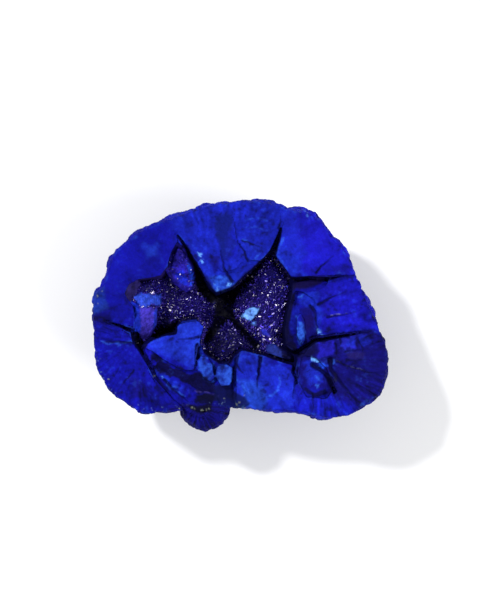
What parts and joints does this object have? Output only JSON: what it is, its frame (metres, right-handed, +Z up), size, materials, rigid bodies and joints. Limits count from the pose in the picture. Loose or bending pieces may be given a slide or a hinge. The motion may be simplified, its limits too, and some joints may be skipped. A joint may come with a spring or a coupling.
{
  "type": "azurite specimen",
  "caption": "Half of a broken blue mineral nodule with a lumpy rind, a cracked broken face and a star-shaped hollow lined with small crystals.",
  "frame": {"origin": "on the surface the stone rests on, below the middle of its overall box", "axes": "+X along the longest side of the broken face, +Y across the face, +Z up out of the broken face"},
  "size_m": [0.0358, 0.028, 0.015],
  "materials": {
    "azurite_stone": "deep blue stone, broken and slightly rough",
    "azurite_crystal": "dark violet-blue crystal faces, glossy"
  },
  "bodies": {
    "root": {"nodule": "azurite_stone", "crystal_crust": "azurite_crystal"}
  },
  "joints": []
}
